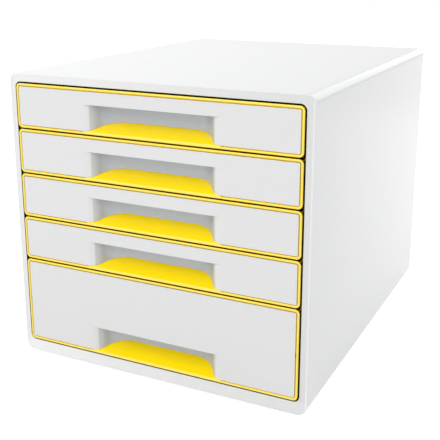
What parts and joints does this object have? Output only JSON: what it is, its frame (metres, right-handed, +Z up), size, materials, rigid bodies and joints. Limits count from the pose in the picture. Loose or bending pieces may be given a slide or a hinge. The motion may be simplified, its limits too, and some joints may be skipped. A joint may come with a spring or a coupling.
{
  "type": "desktop drawer unit",
  "caption": "Desktop drawer unit: white moulded case with low pull-out drawers above a tall one, each with a bead-framed front and a recessed finger grip with a sculpted tongue.",
  "frame": {"origin": "middle of the footprint, on the surface that the feet stand on", "axes": "+X to the right seen from the front, +Y towards the back, +Z up; the drawers pull out along -Y"},
  "size_m": [0.287, 0.363, 0.27],
  "materials": {
    "case_white": "polished moulded plastic",
    "panel_white": "polished moulded plastic",
    "inner_white": "satin moulded plastic",
    "frame_yellow": "polished moulded plastic",
    "tray_yellow": "satin moulded plastic",
    "foot_rubber": "soft rubber"
  },
  "bodies": {
    "case": {"outer_case": "case_white", "back_panel": "inner_white", "runner_panel_left": "inner_white", "runner_panel_right": "inner_white", "foot_front_left": "foot_rubber", "foot_front_right": "foot_rubber", "foot_rear_left": "foot_rubber", "foot_rear_right": "foot_rubber"},
    "drawer_1": {"drawer_1_tray": "tray_yellow", "drawer_1_front_frame": "frame_yellow", "drawer_1_front_panel": "panel_white"},
    "drawer_2": {"drawer_2_tray": "tray_yellow", "drawer_2_front_frame": "frame_yellow", "drawer_2_front_panel": "panel_white"},
    "drawer_3": {"drawer_3_tray": "tray_yellow", "drawer_3_front_frame": "frame_yellow", "drawer_3_front_panel": "panel_white"},
    "drawer_4": {"drawer_4_tray": "tray_yellow", "drawer_4_front_frame": "frame_yellow", "drawer_4_front_panel": "panel_white"},
    "drawer_5": {"drawer_5_tray": "tray_yellow", "drawer_5_front_frame": "frame_yellow", "drawer_5_front_panel": "panel_white"}
  },
  "joints": [
    {"name": "drawer_1_slide", "type": "slide", "parent": "case", "child": "drawer_1", "axis": [0, -1, 0], "range_m": [0, 0.24]},
    {"name": "drawer_2_slide", "type": "slide", "parent": "case", "child": "drawer_2", "axis": [0, -1, 0], "range_m": [0, 0.24]},
    {"name": "drawer_3_slide", "type": "slide", "parent": "case", "child": "drawer_3", "axis": [0, -1, 0], "range_m": [0, 0.24]},
    {"name": "drawer_4_slide", "type": "slide", "parent": "case", "child": "drawer_4", "axis": [0, -1, 0], "range_m": [0, 0.24]},
    {"name": "drawer_5_slide", "type": "slide", "parent": "case", "child": "drawer_5", "axis": [0, -1, 0], "range_m": [0, 0.24]}
  ]
}
